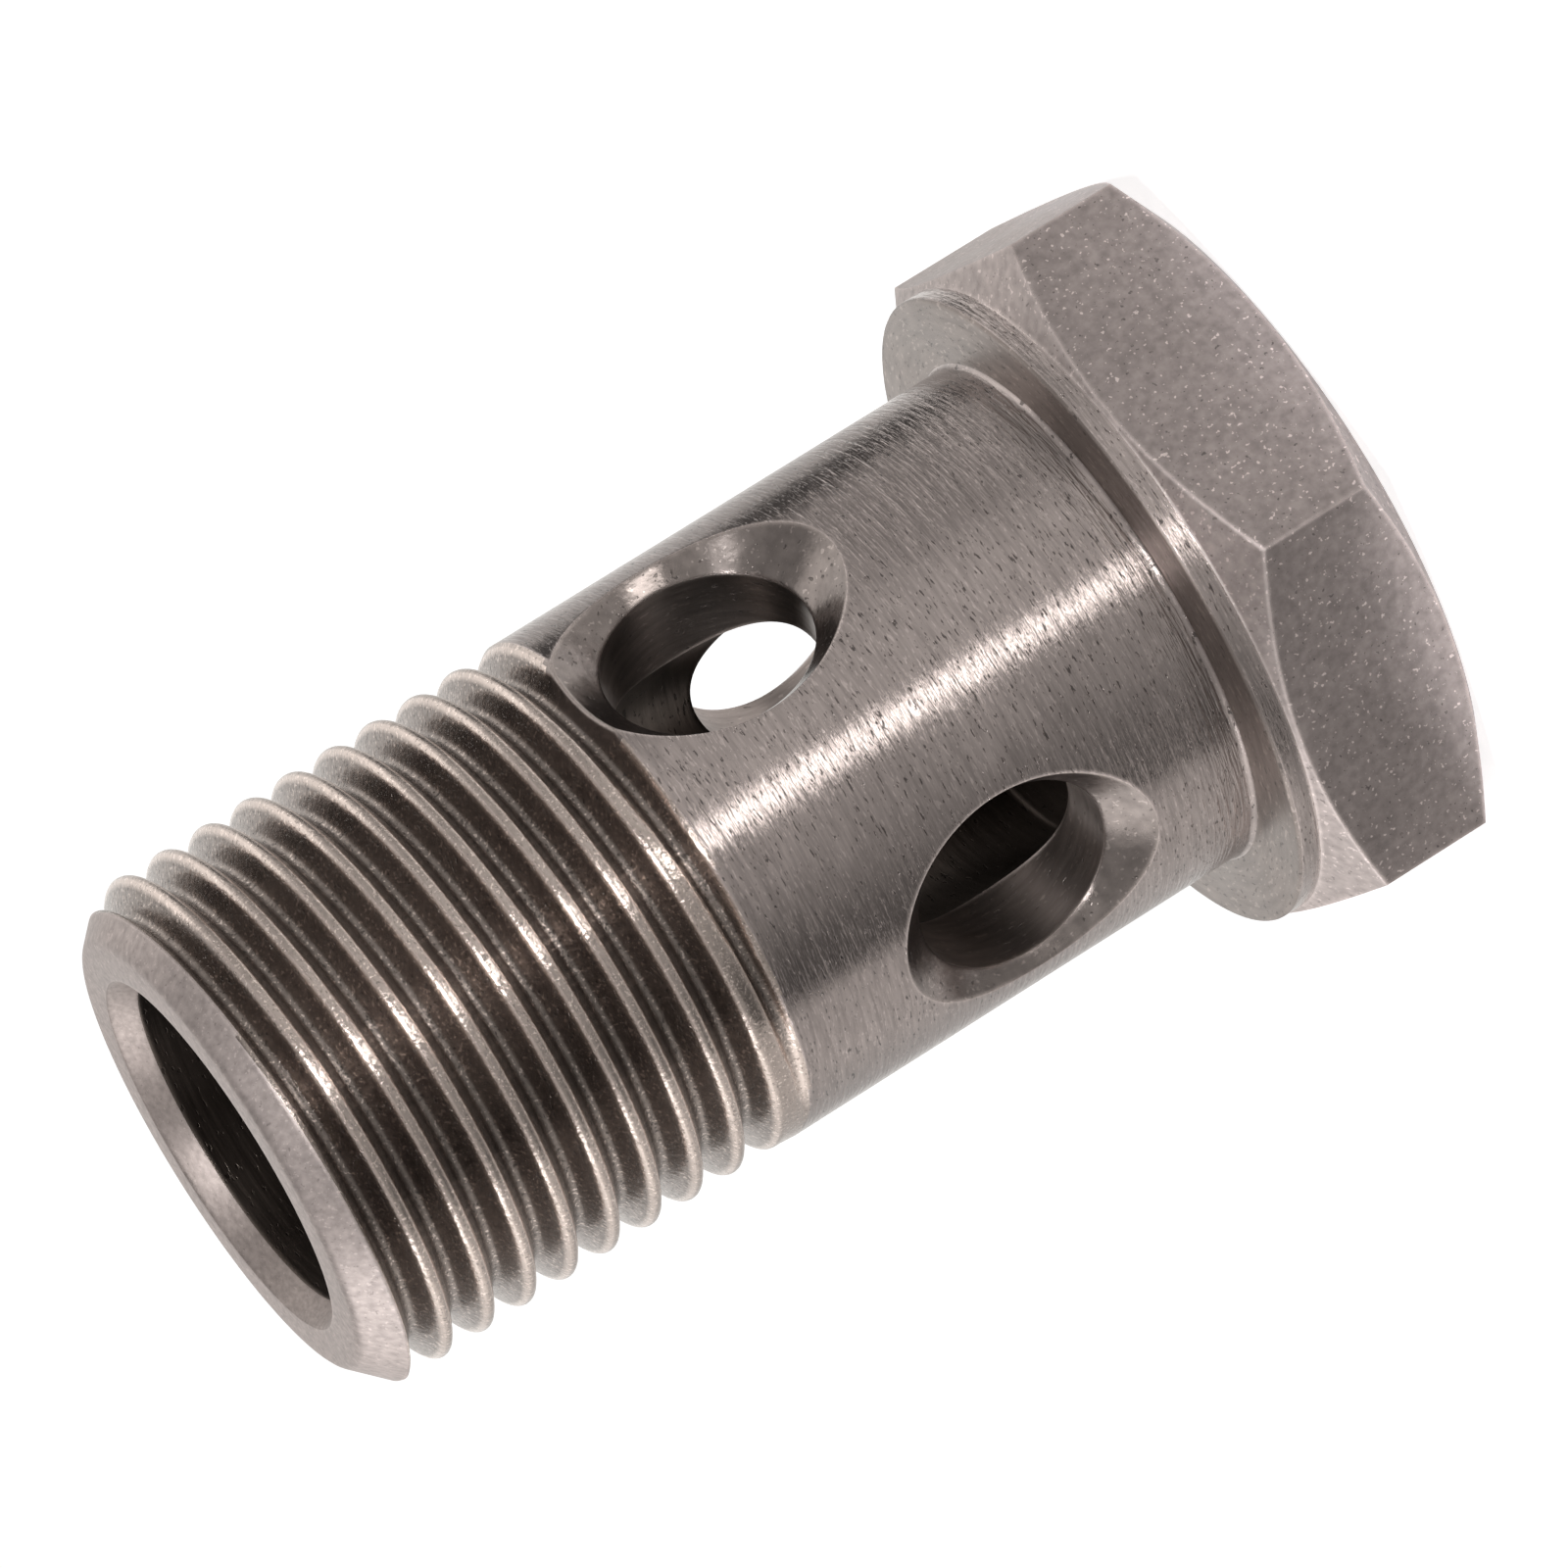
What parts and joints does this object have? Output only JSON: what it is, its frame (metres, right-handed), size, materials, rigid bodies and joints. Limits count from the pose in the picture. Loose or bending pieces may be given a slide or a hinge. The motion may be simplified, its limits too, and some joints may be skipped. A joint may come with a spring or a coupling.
{
  "type": "banjo bolt",
  "caption": "Hollow hexagon-head bolt with a pipe thread and crossed countersunk holes, for clamping a banjo eye and carrying fluid through it.",
  "frame": {"origin": "on the bolt's axis, in the plane of the bearing face, where the head meets the shank", "axes": "+Z along the bolt from the head to the threaded tip, +X along the upper cross hole, +Y along the lower cross hole; the bolt stands on its head"},
  "size_m": [0.0306, 0.0296, 0.0464],
  "materials": {
    "steel": "turned and milled steel, dull warm grey, with fine turning rings, small pits and bright worn edges"
  },
  "bodies": {
    "root": {"banjo_bolt": "steel"}
  },
  "joints": []
}
